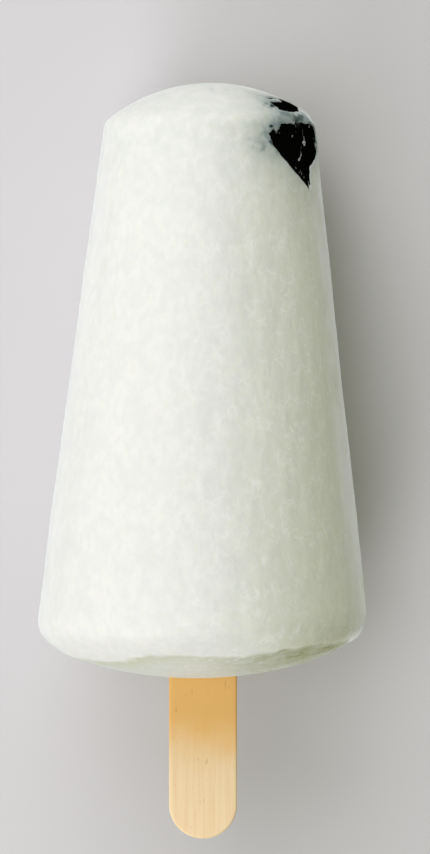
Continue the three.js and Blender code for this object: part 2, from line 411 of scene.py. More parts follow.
def inside_seed(name, around, height, points):
    """Millimetres inside a seed and inside its bare part, and how far along it from 0 at its point to 1."""
    seed = DOME_SEED if name == "top" else WALL_SEEDS[name]
    across, along = across_and_along(name, around, height, points)
    far_along = (along + SEED_SWELL) / (seed["length"] + 2 * SEED_SWELL)
    half = np.where(across < 0, seed["left"], seed["right"]) + SEED_SWELL
    within = np.abs(across) < half * outline_width(2 * far_along - 1)
    inside = np.where(within, 1.0, -1.0) * distance_to(seed_outline(seed), np.stack([across, along], -1))
    bare = inside
    if name == "right":
        past_cover = COVER_LEAN[0] * (along - COVERED_TO) - COVER_LEAN[1] * across
        bare = np.minimum(inside, np.maximum(-across - COVER_EDGE, past_cover))
    if name == "top":
        off_frost = np.maximum(FROSTED_ACROSS[0] - across, across - FROSTED_ACROSS[1])
        bare = np.minimum(inside, np.maximum(off_frost, FROSTED_ALONG - along))
    return inside, bare, far_along


# %% The edges of the windows
SEED_NAMES = ("left", "right", "top")
WINDOW_DEPTH = 0.6  # mm by which the pulp is pressed in, so that the seed stands in front of it
WINDOW_EDGE = (-0.08, 0.16)  # mm inside the window, between which the pulp goes down
CRISP, RAGGED = 0.03, 0.3  # mm by which the edge is torn at a seed's point, and as much more at its blunt end
BLUNT_END = (0.72, 1.0)  # how far along a seed its edge becomes ragged
# Between the wall seeds thin pulp is gone: so many mm of it, growing from the first height to the second.
SEAM_REACH = [(0.7, 71.8, 73.4), (1.6, 78.8, 80.6)]
COVER = {  # degrees round: mm up the wall, above which pulp covers the blunt ends of the wall seeds
    30: 80, 33.4: 80.2, 36: 80.5, 38.4: 80, 40: 80.6, 41.5: 81.1, 45.2: 81.4, 47.5: 81.15,
    50.6: 81.4, 53: 81.3, 55.5: 82, 58.8: 82.15, 61: 81.75, 65: 81.45, 72.5: 81.6, 85: 81.9,
}
BARE_DOME = 12.95  # mm to the right, beyond which pulp covers the dome seed
SEAM_TORN, COVER_TORN, DOME_TORN = 0.15, 0.12, 0.2  # mm by which noise tears these edges
CLOSED = -9.0  # mm inside a window, where there is none


def opening(around, height, points, bare, window, torn):
    """Millimetres inside the openings through which the seeds show."""
    reach = sum(most * smooth(height, low, high) for most, low, high in SEAM_REACH)
    seam = np.minimum(bare["left"], bare["right"]) + reach - SEAM_TORN * torn
    cover = np.interp(np.degrees(around), list(COVER), list(COVER.values()))
    side = np.maximum.reduce([window["left"], window["right"], seam])
    side = np.minimum(side, cover - height + COVER_TORN * torn)
    on_top = np.minimum(window["top"], BARE_DOME - points[:, 0] + DOME_TORN * torn)
    return np.maximum(side, np.where(points[:, 1] > TIP_HEIGHT - 1, on_top, CLOSED))


# %% [markdown]
# ### Haze over the seeds
#
# Beside its window a seed still lies close under the pulp, and its black shows through as a grey haze. It is
# stronger at the blunt ends, where the pulp over them is thin. A few dark spots mark where a seed all but
# reaches the surface. Subsurface light alone doesn't meet a seed that lies inside the body's mesh, so each
# point of the body carries how dark it is there, and the finish reads that.

# %% Haze around the windows, and how the pulp swells there
HAZE_FADE = 2.3  # mm from a seed's bare part, within which it darkens the pulp
HAZE_AT_POINT = 0.15
HAZE_GROWS = [(0.19, 0.05, 0.4), (0.36, 0.5, 0.9)]  # more haze, and between which parts of the seed it comes
HAZE_SPOTS = [  # x, y and size in mm, and strength
    (8.83, 80.8, 0.5, 0.97),
    (8.1, 80.6, 1.1, 0.52),
    (8.75, 78.5, 0.7, 0.94),
    (8.22, 79.5, 1.35, 0.7),
    (7.9, 78.4, 1.6, 0.58),
    (6.7, 77.4, 1.3, 0.24),
    (8.21, 84.1, 0.6, 0.78),
    (8.95, 83.6, 0.68, 0.97),
    (8.81, 84.92, 0.4, 0.5),
    (12.2, 82.05, 0.9, 0.84),
    (13.07, 82.2, 0.8, 0.84),
    (0.3, 86.34, 0.5, 0.12),
    (2.34, 86.21, 0.5, 0.14),
]
SPOT_TORN = 0.3  # of a spot's size, by which noise tears it
HAZE_IN_WINDOW = 0.97  # the pulp's wall behind the window's edge is as dark as the seed
DARK_EDGE = (0.1, 0.3)  # mm inside the window, between which it becomes so
TEARS = [(1, 1.1, 2.2), (0.6, 0.5, 8.8)]  # strength, width in mm and noise start of what tears all edges
SWELL_START = 0.3  # mm outside a seed, where the swelling begins to die away
SWELL_FADE = 1.0  # mm over which it does


def spots(points, torn):
    """How dark the haze spots on the viewer's side make each point."""
    dark = np.zeros(len(points))
    for x, y, size, strength in HAZE_SPOTS:
        apart = np.hypot(points[:, 0] - x, points[:, 1] - y) / size + SPOT_TORN * torn
        dark = np.maximum(dark, strength * np.exp(-np.maximum(apart, 0) ** 2))
    return np.where(points[:, 2] > 0, dark, 0)


def over_seeds(around, height, points):
    """Millimetres inside the window, how much black shows through the pulp, and how far it swells."""
    torn = sum(strength * bumps(points, width, start) for strength, width, start in TEARS)
    haze, swell = spots(points, torn), np.zeros_like(height)
    bare, window = {}, {}
    for name in SEED_NAMES:
        inside, bare[name], far_along = inside_seed(name, around, height, points)
        window[name] = bare[name] - (CRISP + RAGGED * smooth(far_along, *BLUNT_END)) * torn
        thin = HAZE_AT_POINT + sum(more * smooth(far_along, low, high) for more, low, high in HAZE_GROWS)
        haze = np.maximum(haze, thin * np.exp(np.minimum(bare[name], 0) / HAZE_FADE))
        swell = np.maximum(swell, np.exp(np.minimum(inside + SWELL_START, 0) / SWELL_FADE))
    opened = opening(around, height, points, bare, window, torn)
    return opened, np.maximum(haze, HAZE_IN_WINDOW * smooth(opened, *DARK_EDGE)), swell


# %% Points of the body, moved by their relief
PULP_BUMPS = [(0.035, 2.6, 1.3, 3), (0.03, 1.2, 3.9, 1.6)]  # height and width in mm, noise start, stretch
GRAIN_BUMPS = (0.05, 0.9, 7.7)  # height and width in mm of the drained ice's grains, noise start
STEP_EDGE = (-0.28, 0.12)  # mm above the lip, between which the ice steps out to the pulp
ROLL_SIZE, ROLL_ABOVE, ROLL_WIDTH = 0.1, 0.7, 0.6  # mm: the pulp bulges in a soft roll just above the lip
GRAINS_END = (-0.4, 0.3)  # mm above the lip, between which the grains stop
FULL_SIDE = (4, 20)  # mm up the pop, between which the side grows fuller
SET_BACK = 0.06  # mm, so that ripples and bumps stay within the CAD body
RIM_BAND = (-2.8, -0.5)  # mm from the widest line on each side, between which its frost and painted rim light grow
RIM_LEFT, RIM_RIGHT, RIM_LOW = 0.35, 1.0, 0.55  # how much frost and painted rim light there, and on the right near the base
RIM_RISE = (10, 25)  # mm up the pop, between which the right side gets all of it


def near_seeds(around, height):
    """Where the windows, the haze and the swelling can reach: elsewhere they aren't worked out."""
    turn = np.degrees(around)
    return (turn > 5) & (turn < 150) & (height > 60) | (np.abs(turn) < 90) & (height > TIP_HEIGHT)


def outward(raw, height):
    """Directions straight out of the wall, or out of the dome."""
    out = raw - np.stack([0 * height, np.where(height > TIP_HEIGHT, DOME_CENTRE, height), 0 * height], -1)
    return out / np.linalg.norm(out, axis=1)[:, None]


def body_points(around, radius, height):
    """The surface of the pop at each place, and what the finish needs to know there."""
    raw = np.stack([radius * np.sin(around), height, radius * np.cos(around)], -1)
    off_axis = smooth(radius, 0, TIP_RADIUS / 2)
    above = over_lip(around, height, raw)
    low = height < SLOPE_FADE_END
    stand_back = np.where(low, LIP_STEP * (1 - smooth(above, *STEP_EDGE)), 0)
    rolled = ROLL_SIZE * np.exp(-(((above - ROLL_ABOVE) / ROLL_WIDTH) ** 2)) * low
    pulp = sum(size * bumps(raw, width, start, stretch) for size, width, start, stretch in PULP_BUMPS)
    grain = GRAIN_BUMPS[0] * bumps(raw, *GRAIN_BUMPS[1:]) * (1 - smooth(above, *GRAINS_END))
    near = near_seeds(around, height)
    window, haze, swell = np.full_like(radius, CLOSED), np.zeros_like(radius), np.zeros_like(radius)
    window[near], haze[near], swell[near] = over_seeds(around[near], height[near], raw[near])
    fuller = FULLNESS * smooth(height, *FULL_SIDE)
    moved = off_axis * (ripple(around, height) - stand_back + rolled + pulp + fuller - SET_BACK) + grain
    scale = (radius + moved) / radius
    x = raw[:, 0] * scale
    slope = BASE_SLOPE * (1 - smooth(height, SLOPE_FADE_START, SLOPE_FADE_END)) + dome_slope(height)
    points = np.stack([x, height + slope * x, raw[:, 2] * scale], -1)
    pushed = SEED_PROUD * swell - WINDOW_DEPTH * smooth(window, *WINDOW_EDGE)
    points += pushed[:, None] * outward(raw, height)
    # Frost and a painted rim light along the widest lines seen from the front, stronger on the right side.
    sideways = smooth(radius * (np.abs(np.sin(around)) - 1), *RIM_BAND) * off_axis
    right = RIM_LOW + (RIM_RIGHT - RIM_LOW) * smooth(height, *RIM_RISE)
    rim_frost_and_painted_light = sideways * np.where(around > 0, right, RIM_LEFT)
    return points, {"above_lip": above, "seed_haze": haze, "rim_frost_and_painted_light": rim_frost_and_painted_light}


# %% The body's mesh
def lie_flat(points):
    """Moves what would be under the table up to it: the flat that the pop has melted itself."""
    down = foot.z - points[:, 1] * math.sin(HALF_ANGLE) + points[:, 2] * math.cos(HALF_ANGLE)
    sunk = np.minimum(down, 0)
    points[:, 1] += sunk * math.sin(HALF_ANGLE)
    points[:, 2] -= sunk * math.cos(HALF_ANGLE)
    return points


def make_piece(name, points, faces, finish, facts=None):
    """A smooth mesh object whose points are laid down, riding on the CAD body."""
    mesh = bpy.data.meshes.new(name)
    mesh.from_pydata([laid_down @ Vector(p) for p in (np.asarray(points) * MM).tolist()], [], faces)
    for fact, values in (facts or {}).items():
        mesh.attributes.new(fact, "FLOAT", "POINT").data.foreach_set("value", np.asarray(values, np.float32))
    mesh.materials.append(finish)
    mesh.shade_smooth()
    mesh.validate()
    piece = bpy.data.objects.new(name, mesh)
    bpy.context.scene.collection.objects.link(piece)
    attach(piece, "root")
    print(f"{name}: {len(mesh.vertices)} points, {sum(len(f) - 2 for f in faces)} triangles")
    return piece


def grid_faces(row_count, column_count, first=0):
    """Quads of a grid whose columns close into a ring."""
    i, j = np.meshgrid(np.arange(row_count - 1), np.arange(column_count), indexing="ij")
    a = first + i * column_count + j
    b = first + i * column_count + (j + 1) % column_count
    return np.stack([a, b, b + column_count, a + column_count], -1).reshape(-1, 4).tolist()


def closed_ends(first, row_count, column_count):
    """Triangles from a grid's first and last rows to the two points that follow its own."""
    last, end = first + (row_count - 1) * column_count, first + row_count * column_count
    ring = [(j, (j + 1) % column_count) for j in range(column_count)]
    return [[end, first + k, first + j] for j, k in ring] + [[end + 1, last + j, last + k] for j, k in ring]


TIP_DIP = 0.06  # mm by which the very middle of the dome lies lower


def body_mesh():
    n = len(columns)
    around = np.tile(np.radians(columns), len(rows))
    radius = np.repeat(row_radius, n)
    height = np.repeat(row_height, n)
    points, facts = body_points(around, radius, height)
    points = np.concatenate([points, [[0, 0, 0], [0, ICE_LENGTH - TIP_DIP, 0]]])
    ends = {"above_lip": [-LIP_HEIGHT, ICE_LENGTH], "seed_haze": [0, 0], "rim_frost_and_painted_light": [0, 0]}
    facts = {name: np.concatenate([values, ends[name]]) for name, values in facts.items()}
    return lie_flat(points), grid_faces(len(rows), n) + closed_ends(0, len(rows), n), facts


# %% [markdown]
# ### Finish of the body: frozen soursop pulp
#
# Soursop pulp is white with a touch of green, and full of fibres that hang along the mould. Frozen, it lets
# light in a few millimetres, so shadows on it are soft. Its skin is matt with frost, and frost with a painted
# rim light whitens both long sides. Below the lip there is hardly any pulp: the ice is greyer, grainier and
# more olive. Over a seed the pulp is thin, and the black below it shows as a grey haze. Shade is painted in
# as well: olive shade grows towards the shaded right side, a shadow lies under the lip, and on the right
# white flecks and crystals stand for glints.
#
# Each noise here is one thing in the pulp, as wide as that thing. The real fibres are finer than the picture
# can show, so a bundle of them is drawn as one.

# %% What the pulp holds
PULP_PATTERNS = {  # width in mm, pace along the pop, detail
    "fibres": (0.8, 0.45, 4),  # bundles of fibres, about twice as long as wide
    "patches": (3.6, 0.7, 3),  # creamier and greyer pulp
    "mottle": (1.3, 0.7, 2),  # small grey clouds
    "blots": (2.2, 1, 3),  # greyer blots at the tip, olive ones in the ice below the lip
    "blotches": (1.3, 1, 3),  # uneven pulp over the seeds
    "rime": (4.5, 0.7, 2),  # breaks in the frost and painted rim light along the sides
    "flecks": (0.5, 0.7, 0),  # crystals of frost
    "crowds": (3.5, 1, 1),  # where such crystals lie together
    "tangles": (2.8, 1, 1),  # where fine fibres show
    "sparkle": (0.6, 1, 0),  # crystals on the swollen rim, painted as glints
    "grains": (0.7, 1, 3),  # grains of the drained ice
}
CURL_WIDTH, CURL_TWIST = 1.9, 0.9  # mm across the curls of single white fibres, and how much they curl

# %% Colours of the pulp, in layers
# The right side is more olive in the picture than shade makes it, so painted olive shade grows rightward
# in these layers.
PULP = "#E8E9E4"
CREAM_PULP = "#E8E9E2"
GREY_PULP = "#E0E1DC"
TIP_PULP = "#DCE0DA"
OLIVE_PAINTED_SHADE = "#E3E7D0"
DRAINED_ICE = "#D3D7CD"
OLIVE_ICE_AND_PAINTED_SHADE = "#94965C"
PAINTED_LIP_SHADOW = "#C6C8A6"
SEED_HAZE = "#42646C"
SEED_COAT = "#030202"  # also the pulp's wall right beside a bare seed
# White of frost, and of the painted glints.
FROST_AND_GLINT_WHITE = "#FBFCFA"
# Frost and painted rim light on both long sides.
RIM_FROST_AND_PAINTED_LIGHT = "#FCFFFC"

# Fades: measure, from and to which of its values (mm for places), how much shows at each.
# Frost flecks, more towards the shaded right side, where they stand for glints: partly painted glints.
FROST_FLECKS_AND_GLINTS = [
    ("flecks", 0.6, 0.75, 0, 1),
    ("crowds", 0.4, 0.6, 0, 1),
    ("rightward", 2, 17, 0, 0.45),
    ("upward", 6, 20, 0, 1),
]
PULP_LAYERS = [
    (CREAM_PULP, [("patches", 0.42, 0.68, 0, 1)]),
    (GREY_PULP, [("patches", 0.52, 0.32, 0, 0.55)]),
    (GREY_PULP, [("fibres", 0.45, 0.72, 0, 0.45)]),
    (GREY_PULP, [("mottle", 0.58, 0.36, 0, 0.55)]),
    (TIP_PULP, [("blots", 0.56, 0.38, 0, 1), ("upward", 68, 80, 0, 0.7)]),
    # Painted shade: olive, growing towards the shaded right side.
    (OLIVE_PAINTED_SHADE, [("rightward", 2, 19, 0, 0.75)]),
    # Painted shade on the lower right side, just above the lip.
    (OLIVE_ICE_AND_PAINTED_SHADE, [("above_lip", 3.2, 0.6, 0, 0.45), ("rightward", 8, 18, 0, 1)]),
    # Frost and painted rim light on both sides; frost flecks, partly painted glints on the right; single
    # white fibres; and painted glints of crystals at the base's right edge.
    (RIM_FROST_AND_PAINTED_LIGHT, [("rim_frost_and_painted_light", 0, 1, 0, 1), ("rime", 0.1, 0.55, 0, 1)]),
    (FROST_AND_GLINT_WHITE, FROST_FLECKS_AND_GLINTS),
    (FROST_AND_GLINT_WHITE, [("off_curl", 0.055, 0, 0, 1), ("tangles", 0.42, 0.58, 0, 1), ("rightward", -9, 8, 0, 0.36)]),
    (FROST_AND_GLINT_WHITE, [("sparkle", 0.5, 0.68, 0, 1), ("rightward", 21, 23.5, 0, 1), ("upward", 12, 7, 0, 1)]),
]
ICE_LAYERS = [
    # Olive blots in the drained ice, more towards the shaded right side: partly painted shade.
    (OLIVE_ICE_AND_PAINTED_SHADE, [("blots", 0.42, 0.62, 0.6, 1), ("rightward", 0, 15, 0, 1)]),
    (FROST_AND_GLINT_WHITE, [("grains", 0.55, 0.75, 0, 0.5), ("rightward", 17, 5, 0, 1)]),
    # Painted shadow under the lip's overhang, strongest on the left.
    (PAINTED_LIP_SHADOW, [("above_lip", -1.3, -0.2, 0, 1), ("rightward", 6, -10, 0, 0.62)]),
]
BELOW_LIP = [("above_lip", 0.5, 0.05, 0, 1)]
SEED_LAYERS = [
    (SEED_HAZE, [("seed_haze", 0, 1, 0, 1), ("blotches", 0, 1, 0.45, 1.55)]),
    (SEED_COAT, [("seed_haze", 0.72, 0.95, 0, 1)]),
]
LET_IN = [("seed_haze", 0.72, 0.95, 0.5, 0)]  # how much light enters the pulp: none where the coat shows


# %% What drives the layers of the pulp
def pulp_measures(tree):
    """The patterns, the facts that the mesh carries, and the place in mm to the right and up the pop."""
    place = place_in_pop(tree)
    measures = patterns(tree, place, PULP_PATTERNS)
    for fact in ("above_lip", "seed_haze", "rim_frost_and_painted_light"):
        measures[fact] = node(tree, "Attribute", attribute_name=fact).outputs["Fac"]
    apart = node(tree, "SeparateXYZ", {"Vector": place})
    measures["rightward"], measures["upward"] = apart.outputs["X"], apart.outputs["Y"]
    curls = patterns(tree, place, {"curls": (CURL_WIDTH, 0.7, 1)}, Distortion=CURL_TWIST)["curls"]
    # A fibre lies where this noise passes through its middle value, so that it is a thin winding line.
    off = node(tree, "Math", {0: curls, 1: 0.5}, operation="SUBTRACT").outputs[0]
    measures["off_curl"] = node(tree, "Math", {0: off}, operation="ABSOLUTE").outputs[0]
    return measures


# %% Frozen soursop pulp, cast in a mould: milky, soft in its shadows, matt with frost
FIBRE_DEPTH, GRAIN_DEPTH = 0.12, 0.1  # mm of bump
LIGHT_REACH = 3.0  # mm that light travels in the pulp
SHEEN_TINT = "#EAF4F4"


def frozen_pulp():
    finish, tree = new_finish("frozen_soursop_pulp_cast")
    measures = pulp_measures(tree)
    pulp = layered(tree, measures, PULP, PULP_LAYERS)
    ice = layered(tree, measures, DRAINED_ICE, ICE_LAYERS)
    below = {"Fac": showing(tree, measures, BELOW_LIP), "Color1": pulp, "Color2": ice}
    colour = layered(tree, measures, node(tree, "MixRGB", below).outputs[0], SEED_LAYERS)
    wet = {"Value": showing(tree, measures, FROST_FLECKS_AND_GLINTS), "To Min": 0.5, "To Max": 0.25}
    relief = {"Height": measures["fibres"], "Strength": 0.25, "Distance": FIBRE_DEPTH * MM}
    relief = node(tree, "Bump", relief).outputs[0]
    relief = {"Height": measures["grains"], "Strength": 0.3, "Distance": GRAIN_DEPTH * MM, "Normal": relief}
    skin = {
        "Base Color": colour,
        "Roughness": node(tree, "MapRange", wet).outputs[0],  # a crystal is smoother than the pulp
        "Normal": node(tree, "Bump", relief).outputs[0],
        "IOR": 1.31,  # ice
        "Subsurface Weight": showing(tree, measures, LET_IN),
        "Subsurface Radius": (1.0, 0.9, 0.6),  # red light goes deepest
        "Subsurface Scale": LIGHT_REACH * MM,
        "Sheen Weight": 0.9,  # the film of frost
        "Sheen Roughness": 0.2,
        "Sheen Tint": linear(SHEEN_TINT),
    }
    end_finish(tree, node(tree, "BsdfPrincipled", skin))
    return finish


body_shape, body_faces, body_facts = body_mesh()
body = make_piece("frozen_pulp", body_shape, body_faces, frozen_pulp(), body_facts)
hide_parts("ice_body")

# %% [markdown]
# ## The seeds
#
# A soursop seed is a flat teardrop with a hard, nearly black coat. Only its outer face shows, and it follows
# the mould's wall. A sphere could be squashed into that shape, but its width is easier to fit as a formula
# along its length. So each seed is a turned teardrop that is pressed flat and bent to the wall or the dome,
# a hair below the swollen pulp around it.

# %% Shape of a seed
SEED_SUNK = 0.06  # mm below the swollen ice
SEED_CROWN = 0.14  # mm by which the outer face falls away towards its rim
SEED_DENTS = (0.03, 1.6)  # depth and width in mm
SEED_ROWS, SEED_COLUMNS = 72, 96


def seed_points(name):
    """Points of a seed's mesh: rows from its point to its blunt end, each a ring of columns."""
    seed = DOME_SEED if name == "top" else WALL_SEEDS[name]
    s = -np.cos(np.pi * np.arange(1, SEED_ROWS) / SEED_ROWS)
    turn = 2 * np.pi * np.arange(SEED_COLUMNS) / SEED_COLUMNS
    width = np.repeat(outline_width(s), SEED_COLUMNS)
    x = width * np.tile(np.sin(turn), len(s))
    z = width * np.tile(np.cos(turn), len(s))
    y = np.repeat((s + 1) * seed["length"] / 2 + s * SEED_SWELL, SEED_COLUMNS)
    ends = np.array([[0, -SEED_SWELL, 0], [0, seed["length"] + SEED_SWELL, 0]])
    half = np.where(x < 0, seed["left"], seed["right"]) + SEED_SWELL
    flat = np.concatenate([np.stack([x * half, y, z], -1), ends])
    dents = SEED_DENTS[0] * bumps(flat, SEED_DENTS[1], len(name))
    crown = SEED_CROWN * (1 - np.clip(flat[:, 2], 0, 1) ** 0.5)
    face = SEED_PROUD - SEED_SUNK
    depth = np.where(flat[:, 2] > 0, face - crown + dents, face - SEED_CROWN + flat[:, 2] * seed["depth"])
    return flat[:, 0], flat[:, 1], depth


CORNER_BEND = 0.25  # per mm: how fast a seed that reaches the tip's edge bends in under the dome


def on_wall(seed, x, y, depth):
    """Bends places across and along a seed, and mm out from the wall, to the wall."""
    lean = math.radians(seed["tilt"])
    across = x * math.cos(lean) - y * math.sin(lean)
    height = seed["height"] + x * math.sin(lean) + y * math.cos(lean)
    turn = math.radians(seed["around"]) + across / wall_radius(seed["height"])
    corner = np.clip(height - TIP_HEIGHT + TIP_ROUNDING, 0, None)
    radius = wall_radius(height) + depth - CORNER_BEND * corner**2
    return np.stack([radius * np.sin(turn), height, radius * np.cos(turn)], -1)


def under_dome(x, y, depth):
    """Bends places across and along the dome seed to the dome."""
    out, across, along = dome_axes()
    direction = DOME_RADIUS * out + x[:, None] * across + (y - DOME_SEED["length"] / 2)[:, None] * along
    direction /= np.linalg.norm(direction, axis=1)[:, None]
    points = direction * (DOME_RADIUS + depth)[:, None] + [0, DOME_CENTRE, 0]
    points[:, 1] += dome_slope(points[:, 1]) * points[:, 0]
    return points


# %% [markdown]
# ### Finish of the seeds: seed coat under ice
#
# The coat is nearly black, hard and smooth. But a film of ice lies on it, whose index is close to its own, so
# hardly any light comes back, and the seed looks like a hole in the pulp. A glossy finish would show lamps on
# it that the real one doesn't. So its specular level is zero, and fine ridges are all that it shows.

# %% Soursop seed coat, under a film of ice: black, with no gloss
SEED_RIDGE = "#0B0A09"
RIDGE_WIDTH, RIDGE_DEPTH = 0.6, 0.1  # mm: fine ridges that run along the coat


def seed_coat():
    finish, tree = new_finish("soursop_seed_coat_iced")
    measures = patterns(tree, place_in_pop(tree), {"ridges": (RIDGE_WIDTH, 0.22, 3)})
    ridges = measures["ridges"]
    rough = {"Value": ridges, "To Min": 0.4, "To Max": 0.7}
    relief = {"Height": ridges, "Strength": 0.25, "Distance": RIDGE_DEPTH * MM}
    coat = {
        "Base Color": layered(tree, measures, SEED_COAT, [(SEED_RIDGE, [("ridges", 0, 1, 0, 1)])]),
        "Roughness": node(tree, "MapRange", rough).outputs[0],
        "Normal": node(tree, "Bump", relief).outputs[0],
        "Specular IOR Level": 0.0,
    }
    end_finish(tree, node(tree, "BsdfPrincipled", coat))
    return finish


# %% The three seeds
coat = seed_coat()
seed_faces = grid_faces(SEED_ROWS - 1, SEED_COLUMNS) + closed_ends(0, SEED_ROWS - 1, SEED_COLUMNS)
for name in SEED_NAMES:
    x, y, depth = seed_points(name)
    placed = under_dome(x, y, depth) if name == "top" else on_wall(WALL_SEEDS[name], x, y, depth)
    seed_piece = make_piece("soursop_seed_" + name, placed, seed_faces, coat)
    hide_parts("seed_" + name)

# %% [markdown]
# ### Threads of frost
#
# Frost has grown on the seeds, most of it along the seam between the two on the side, in threads a few tenths
# of a millimetre wide. A pattern on the seeds would lie flat, so each thread is a small sliver of ice that
# stands on the coat. They are few and each has its own shape, so they are listed one by one instead of being
# scattered by a random draw.

# %% Frost threads on the seeds
FROST_THREADS = [  # degrees round from the front, height, length and width in mm, lean in degrees, whiteness
    (56.0, 81.8, 1.0, 0.22, -35, 0.22),
    (54.0, 81.2, 0.9, 0.2, -20, 0.25),
    (53.6, 80.2, 0.8, 0.16, 8, 0.15),
    (40.6, 79.9, 0.3, 0.3, 30, 0.08),
    (50.3, 79.5, 0.5, 0.32, 25, 0.22),
    (60.6, 80.1, 1.1, 0.2, 14, 0.08),
    (61.4, 79.2, 1.0, 0.36, 6, 0.32),
    (61.2, 78.6, 0.8, 0.7, -5, 0.8),
    (57.6, 77.9, 0.5, 0.16, 12, 0.08),
    (57.2, 77.1, 0.6, 0.22, -18, 0.22),
    (56.6, 76.7, 0.7, 0.22, 30, 0.35),
    (54.9, 76.2, 0.8, 0.34, 50, 0.65),
    (51.3, 74.9, 0.5, 0.22, -50, 0.14),
    (54.6, 74.4, 0.8, 0.22, 46, 0.18),
    (55.7, 74.1, 0.6, 0.3, 20, 0.12),
    (57.7, 73.6, 0.5, 0.28, -48, 0.14),
    (71.0, 81.2, 1.2, 0.28, 60, 0.3),
    (38.6, 80.1, 0.7, 0.4, 8, 0.14),
    (75.5, 79.4, 1.5, 0.4, 4, 0.5),
    (78.5, 79.9, 0.7, 0.3, 50, 0.4),
    (79.5, 78.3, 1.1, 0.9, -30, 0.6),
    (76.5, 78.9, 0.9, 0.3, -30, 0.25),
]
THREAD_ROWS, THREAD_SIDES = 9, 8
THREAD_FLATNESS = 0.35  # of its half width, by which a thread stands out
THREAD_SUNK = 0.04  # mm of it in the coat


def thread_points(around, height, length, width, lean):
    """A sliver of ice with a wavy outline, standing on the coat."""
    s = np.repeat(np.linspace(-1, 1, THREAD_ROWS + 2)[1:-1], THREAD_SIDES)
    turn = np.tile(2 * np.pi * np.arange(THREAD_SIDES) / THREAD_SIDES, THREAD_ROWS)
    places = np.stack([np.cos(turn) * 0.3, s * length / 2, np.full_like(s, around)], -1)
    half = width / 2 * (1 - s**2) ** 0.6 * (1 + 0.5 * bumps(places, 0.35))
    x = np.concatenate([half * np.sin(turn), [0, 0]])
    z = np.concatenate([THREAD_FLATNESS * half * np.cos(turn), [0, 0]]) + SEED_PROUD - SEED_SUNK - THREAD_SUNK
    y = np.concatenate([s * length / 2, [-length / 2, length / 2]])
    return on_wall(dict(around=around, height=height, tilt=-lean), x, y, z)


def frost_threads():
    points, faces, whiteness = [], [], []
    for *place, white in FROST_THREADS:
        first = sum(len(p) for p in points)
        points.append(thread_points(*place))
        faces += grid_faces(THREAD_ROWS, THREAD_SIDES, first) + closed_ends(first, THREAD_ROWS, THREAD_SIDES)
        whiteness += [white] * len(points[-1])
    return np.concatenate(points), faces, {"whiteness": whiteness}


# %% Frost, grown from vapour: white, because its crystals scatter all light, and rough
THICK_FROST = "#E4EAE4"
CRYSTAL_WIDTH = 0.7  # mm, coarser than real ones, which are too fine to show


def grown_frost():
    finish, tree = new_finish("frost_grown")
    measures = patterns(tree, place_in_pop(tree), {"crystals": (CRYSTAL_WIDTH, 1, 3)})
    measures["whiteness"] = node(tree, "Attribute", attribute_name="whiteness").outputs["Fac"]
    thick = (THICK_FROST, [("whiteness", 0, 1, 0, 1), ("crystals", 0.3, 0.6, 0.3, 1)])
    colour = layered(tree, measures, SEED_COAT, [thick])
    frost = {"Base Color": colour, "Roughness": 0.6, "Specular IOR Level": 0.05}
    end_finish(tree, node(tree, "BsdfPrincipled", frost))
    return finish


thread_shape, thread_faces, thread_facts = frost_threads()
threads = make_piece("frost_threads", thread_shape, thread_faces, grown_frost(), thread_facts)

# %% [markdown]
# ## The stick
#
# It is a stamped strip of birch veneer with round ends, and tumbling has rounded its edges. A beveled box
# would miss the round ends, so the stick is a stack of outlines: a few around each rounded edge, and one a
# little further in that keeps the faces flat.

# %% Shape of the stick
STICK_LENGTH, STICK_WIDTH, STICK_THICKNESS, STICK_EDGE = 93, 10, 2, 0.3
STICK_SHOWING = 23.6
STICK_OFFSET = 0.25  # mm to the right of the body's axis, at the base
STICK_SKEW = math.radians(0.85)
END_STEPS = 40
FLAT_MARGIN = 0.25  # mm further in than the rounded edge


def stick_outline(inward):
    """The stick's outline, moved inward, as x and y around it."""
    half = STICK_WIDTH / 2 - inward
    reach = (STICK_LENGTH - STICK_WIDTH) / 2
    turn = np.linspace(0, math.pi, END_STEPS + 1)
    top = np.stack([half * np.cos(turn), reach + half * np.sin(turn)], -1)
    return np.concatenate([top, -top])


def stick_mesh():
    """The outline repeated through the stick's thickness, and moved inward at its faces."""
    top, inner = STICK_THICKNESS / 2, STICK_EDGE + FLAT_MARGIN
    turn = np.radians([0, 22.5, 45, 67.5, 90])
    edge = [(STICK_EDGE * (1 - math.cos(t)), top - STICK_EDGE * (1 - math.sin(t))) for t in turn]
    edge.append((inner, top))
    levels = [(inward, -z) for inward, z in reversed(edge)] + edge
    rings = [np.column_stack([stick_outline(inward), np.full(2 * END_STEPS + 2, z)]) for inward, z in levels]
    n = len(rings[0])
    faces = grid_faces(len(rings), n)
    faces += [list(range(n))[::-1], list(range((len(rings) - 1) * n, len(rings) * n))]
    middle = STICK_LENGTH / 2 - STICK_SHOWING
    turned = Matrix.Rotation(STICK_SKEW, 3, "Z")
    points = np.concatenate(rings) @ np.array(turned).T
    return points + [STICK_OFFSET - math.tan(STICK_SKEW) * middle, middle, 0], faces


# %% [markdown]
# ### Finish of the stick: plain birch
#
# Birch is pale and even, with fine straight grain and short darker flecks. It is unfinished, so it is matt.
# Near the ice it has soaked up water, which makes it darker and more orange.

# %% Birch veneer, stamped and tumbled: pale, straight in its grain, wet near the ice
BIRCH = "#F8DDB1"
BIRCH_GRAIN = "#F2D2A2"
BIRCH_WET = "#F2BD6A"
BIRCH_FLECK = "#B98449"
GRAIN_WIDTH, BIRCH_DEPTH = 0.45, 0.05  # mm between grain lines, and mm of bump
WET_END, DRY_START = -5.0, -14.5  # mm from the base: soaked to the first, dry from the second
WET_WANDER = 2.5  # mm by which the edge of the wet part wanders
BIRCH_LAYERS = [
    (BIRCH_GRAIN, [("grain", 0.4, 0.7, 0, 1)]),
    (BIRCH_WET, [("wet", 0, 1, 0, 1)]),
    (BIRCH_FLECK, [("dashes", 0.72, 0.8, 0, 0.5)]),
]


